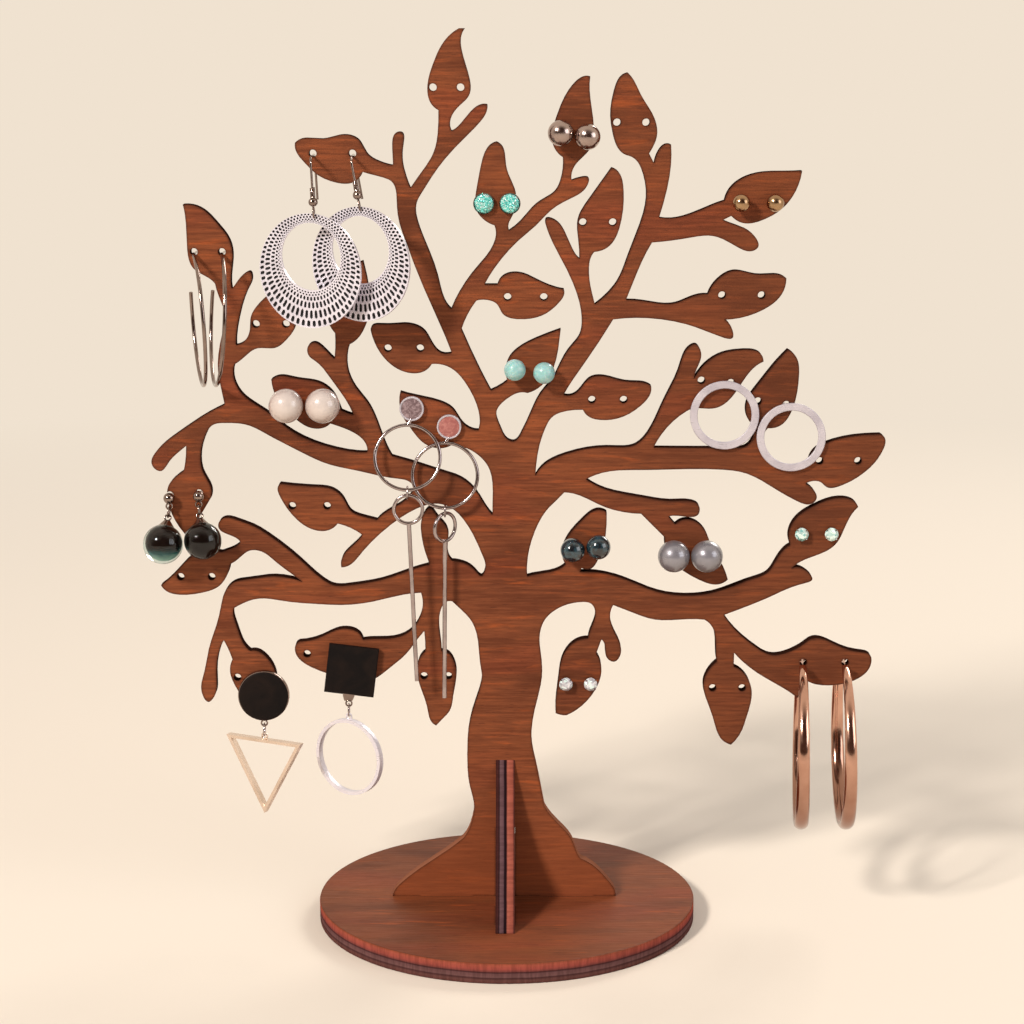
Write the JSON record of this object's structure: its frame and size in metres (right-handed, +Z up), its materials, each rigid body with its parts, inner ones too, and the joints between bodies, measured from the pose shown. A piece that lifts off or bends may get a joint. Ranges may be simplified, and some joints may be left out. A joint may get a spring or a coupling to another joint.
{
  "type": "jewelry tree",
  "caption": "Tree-shaped plywood earring stand on a round base, with pierced leaves that hold stud, hook, hoop and drop earrings.",
  "frame": {"origin": "centre of the base disc's underside", "axes": "+Z up through the trunk, +X to the right of the tree, -Y towards the viewer in front"},
  "size_m": [0.2488, 0.13, 0.3035],
  "materials": {
    "tree_wood": "stained plywood, satin oil",
    "brace_wood": "stained plywood, dark cut edge",
    "base_wood": "stained plywood, satin oil",
    "white_pearl": "pearl lustre",
    "grey_pearl": "pearl lustre",
    "aqua_stone": "polished stone",
    "dark_stone": "polished stone",
    "satin_silver": "satin",
    "gold": "polished",
    "glitter": "glitter",
    "turquoise_crystal": "faceted",
    "clear_crystal": "faceted",
    "brushed_silver": "brushed",
    "steel_wire": "polished",
    "stamped_silver": "stamped",
    "bright_silver": "polished",
    "rose_gold": "polished",
    "black_enamel": "matt enamel",
    "glass_ball": "polished"
  },
  "bodies": {
    "root": {"tree_plate": "tree_wood", "cross_brace": "brace_wood", "base_disc": "base_wood"},
    "white_pearl_left": {"white_pearl_stud_left": "white_pearl"},
    "white_pearl_right": {"white_pearl_stud_right": "white_pearl"},
    "grey_pearl_left": {"grey_pearl_stud_left": "grey_pearl"},
    "grey_pearl_right": {"grey_pearl_stud_right": "grey_pearl"},
    "aqua_left": {"aqua_stud_left": "aqua_stone"},
    "aqua_right": {"aqua_stud_right": "aqua_stone"},
    "dark_bead_left": {"dark_bead_stud_left": "dark_stone"},
    "dark_bead_right": {"dark_bead_stud_right": "dark_stone"},
    "silver_ball_left": {"silver_ball_stud_left": "satin_silver"},
    "silver_ball_right": {"silver_ball_stud_right": "satin_silver"},
    "gold_ball_left": {"gold_ball_stud_left": "gold"},
    "gold_ball_right": {"gold_ball_stud_right": "gold"},
    "glitter_left": {"glitter_stud_left": "glitter"},
    "glitter_right": {"glitter_stud_right": "glitter"},
    "turquoise_crystal_left": {"turquoise_crystal_stud_left": "turquoise_crystal"},
    "turquoise_crystal_right": {"turquoise_crystal_stud_right": "turquoise_crystal"},
    "clear_crystal_left": {"clear_crystal_stud_left": "clear_crystal"},
    "clear_crystal_right": {"clear_crystal_stud_right": "clear_crystal"},
    "ring_stud_left": {"ring_stud_left": "brushed_silver"},
    "ring_stud_right": {"ring_stud_right": "brushed_silver"},
    "filigree_hook_left": {"filigree_hook_left": "steel_wire"},
    "filigree_disc_left": {"filigree_disc_left": "stamped_silver"},
    "filigree_hook_right": {"filigree_hook_right": "steel_wire"},
    "filigree_disc_right": {"filigree_disc_right": "stamped_silver"},
    "silver_hoop_left": {"silver_hoop_left": "steel_wire"},
    "silver_hoop_right": {"silver_hoop_right": "steel_wire"},
    "gold_hoop_left": {"gold_hoop_left": "rose_gold"},
    "gold_hoop_right": {"gold_hoop_right": "rose_gold"},
    "ring_drop_left": {"ring_drop_stud_left": "bright_silver"},
    "bar_drop_left": {"ring_drop_link_left": "bright_silver", "ring_drop_bar_left": "bright_silver"},
    "ring_drop_right": {"ring_drop_stud_right": "bright_silver"},
    "bar_drop_right": {"ring_drop_link_right": "bright_silver", "ring_drop_bar_right": "bright_silver"},
    "glass_drop_stud_left": {"glass_drop_stud_left": "steel_wire"},
    "glass_drop_left": {"glass_drop_cap_left": "steel_wire", "glass_ball_left": "glass_ball"},
    "glass_drop_stud_right": {"glass_drop_stud_right": "steel_wire"},
    "glass_drop_right": {"glass_drop_cap_right": "steel_wire", "glass_ball_right": "glass_ball"},
    "black_circle": {"black_circle_stud": "black_enamel"},
    "triangle": {"triangle_link": "bright_silver", "triangle_drop": "bright_silver"},
    "black_square": {"black_square_stud": "black_enamel"},
    "flat_ring": {"flat_ring_link": "bright_silver", "flat_ring_drop": "brushed_silver"}
  },
  "joints": [
    {"name": "filigree_left_sway", "type": "hinge", "parent": "root", "child": "filigree_hook_left", "pos_m": [-0.0635, 0, 0.26255], "axis": [0, 1, 0], "range_deg": [-8, 1]},
    {"name": "filigree_left_swing", "type": "hinge", "parent": "filigree_hook_left", "child": "filigree_disc_left", "pos_m": [-0.0627, -0.0118, 0.24487], "axis": [-1, 0, 0], "range_deg": [0, 40]},
    {"name": "filigree_right_sway", "type": "hinge", "parent": "root", "child": "filigree_hook_right", "pos_m": [-0.0505, 0, 0.26255], "axis": [0, 1, 0], "range_deg": [-8, 5]},
    {"name": "filigree_right_swing", "type": "hinge", "parent": "filigree_hook_right", "child": "filigree_disc_right", "pos_m": [-0.04784, -0.0118, 0.24718], "axis": [-1, 0, 0], "range_deg": [0, 5]},
    {"name": "silver_hoop_left_sway", "type": "hinge", "parent": "root", "child": "silver_hoop_left", "pos_m": [-0.10325, 0, 0.2303], "axis": [0, 1, 0], "range_deg": [-2, 20]},
    {"name": "silver_hoop_right_sway", "type": "hinge", "parent": "root", "child": "silver_hoop_right", "pos_m": [-0.094, 0, 0.2303], "axis": [0, 1, 0], "range_deg": [0, 2.5]},
    {"name": "gold_hoop_left_sway", "type": "hinge", "parent": "root", "child": "gold_hoop_left", "pos_m": [0.10125, 0, 0.0903], "axis": [0, 1, 0], "range_deg": [0, 20]},
    {"name": "gold_hoop_right_sway", "type": "hinge", "parent": "root", "child": "gold_hoop_right", "pos_m": [0.1155, 0, 0.0903], "axis": [0, 1, 0], "range_deg": [-20, 0]},
    {"name": "ring_drop_left_sway", "type": "hinge", "parent": "root", "child": "ring_drop_left", "pos_m": [-0.0317, 0, 0.1788], "axis": [0, 1, 0], "range_deg": [0, 20]},
    {"name": "ring_drop_left_swing", "type": "hinge", "parent": "ring_drop_left", "child": "bar_drop_left", "pos_m": [-0.0331, -0.00948, 0.15237], "axis": [-1, 0, 0], "range_deg": [0, 40]},
    {"name": "ring_drop_right_sway", "type": "hinge", "parent": "root", "child": "ring_drop_right", "pos_m": [-0.01925, 0, 0.1727], "axis": [0, 1, 0], "range_deg": [-20, 0]},
    {"name": "ring_drop_right_swing", "type": "hinge", "parent": "ring_drop_right", "child": "bar_drop_right", "pos_m": [-0.02065, -0.00651, 0.14564], "axis": [-1, 0, 0], "range_deg": [0, 40]},
    {"name": "glass_drop_left_swing", "type": "hinge", "parent": "glass_drop_stud_left", "child": "glass_drop_left", "pos_m": [-0.1134, -0.0044, 0.1448], "axis": [-1, 0, 0], "range_deg": [0, 40]},
    {"name": "glass_drop_right_swing", "type": "hinge", "parent": "glass_drop_stud_right", "child": "glass_drop_right", "pos_m": [-0.1035, -0.0044, 0.1455], "axis": [-1, 0, 0], "range_deg": [0, 40]},
    {"name": "triangle_swing", "type": "hinge", "parent": "black_circle", "child": "triangle", "pos_m": [-0.083, -0.0035, 0.06895], "axis": [-1, 0, 0], "range_deg": [-15, 60]},
    {"name": "flat_ring_swing", "type": "hinge", "parent": "black_square", "child": "flat_ring", "pos_m": [-0.05394, -0.004, 0.07606], "axis": [-1, 0, 0], "range_deg": [-15, 60]},
    {"name": "white_pearl_left_pull", "type": "slide", "parent": "root", "child": "white_pearl_left", "axis": [0, -1, 0], "range_m": [0, 0.012]},
    {"name": "white_pearl_right_pull", "type": "slide", "parent": "root", "child": "white_pearl_right", "axis": [0, -1, 0], "range_m": [0, 0.012]},
    {"name": "grey_pearl_left_pull", "type": "slide", "parent": "root", "child": "grey_pearl_left", "axis": [0, -1, 0], "range_m": [0, 0.012]},
    {"name": "grey_pearl_right_pull", "type": "slide", "parent": "root", "child": "grey_pearl_right", "axis": [0, -1, 0], "range_m": [0, 0.012]},
    {"name": "aqua_left_pull", "type": "slide", "parent": "root", "child": "aqua_left", "axis": [0, -1, 0], "range_m": [0, 0.012]},
    {"name": "aqua_right_pull", "type": "slide", "parent": "root", "child": "aqua_right", "axis": [0, -1, 0], "range_m": [0, 0.012]},
    {"name": "dark_bead_left_pull", "type": "slide", "parent": "root", "child": "dark_bead_left", "axis": [0, -1, 0], "range_m": [0, 0.012]},
    {"name": "dark_bead_right_pull", "type": "slide", "parent": "root", "child": "dark_bead_right", "axis": [0, -1, 0], "range_m": [0, 0.012]},
    {"name": "silver_ball_left_pull", "type": "slide", "parent": "root", "child": "silver_ball_left", "axis": [0, -1, 0], "range_m": [0, 0.012]},
    {"name": "silver_ball_right_pull", "type": "slide", "parent": "root", "child": "silver_ball_right", "axis": [0, -1, 0], "range_m": [0, 0.012]},
    {"name": "gold_ball_left_pull", "type": "slide", "parent": "root", "child": "gold_ball_left", "axis": [0, -1, 0], "range_m": [0, 0.012]},
    {"name": "gold_ball_right_pull", "type": "slide", "parent": "root", "child": "gold_ball_right", "axis": [0, -1, 0], "range_m": [0, 0.012]},
    {"name": "glitter_left_pull", "type": "slide", "parent": "root", "child": "glitter_left", "axis": [0, -1, 0], "range_m": [0, 0.012]},
    {"name": "glitter_right_pull", "type": "slide", "parent": "root", "child": "glitter_right", "axis": [0, -1, 0], "range_m": [0, 0.012]},
    {"name": "turquoise_crystal_left_pull", "type": "slide", "parent": "root", "child": "turquoise_crystal_left", "axis": [0, -1, 0], "range_m": [0, 0.012]},
    {"name": "turquoise_crystal_right_pull", "type": "slide", "parent": "root", "child": "turquoise_crystal_right", "axis": [0, -1, 0], "range_m": [0, 0.012]},
    {"name": "clear_crystal_left_pull", "type": "slide", "parent": "root", "child": "clear_crystal_left", "axis": [0, -1, 0], "range_m": [0, 0.012]},
    {"name": "clear_crystal_right_pull", "type": "slide", "parent": "root", "child": "clear_crystal_right", "axis": [0, -1, 0], "range_m": [0, 0.012]},
    {"name": "ring_stud_left_pull", "type": "slide", "parent": "root", "child": "ring_stud_left", "axis": [0, -1, 0], "range_m": [0, 0.012]},
    {"name": "ring_stud_right_pull", "type": "slide", "parent": "root", "child": "ring_stud_right", "axis": [0, -1, 0], "range_m": [0, 0.012]},
    {"name": "glass_drop_left_pull", "type": "slide", "parent": "root", "child": "glass_drop_stud_left", "axis": [0, -1, 0], "range_m": [0, 0.012]},
    {"name": "glass_drop_right_pull", "type": "slide", "parent": "root", "child": "glass_drop_stud_right", "axis": [0, -1, 0], "range_m": [0, 0.012]},
    {"name": "black_circle_pull", "type": "slide", "parent": "root", "child": "black_circle", "axis": [0, -1, 0], "range_m": [0, 0.012]},
    {"name": "black_square_pull", "type": "slide", "parent": "root", "child": "black_square", "axis": [0, -1, 0], "range_m": [0, 0.012]}
  ]
}
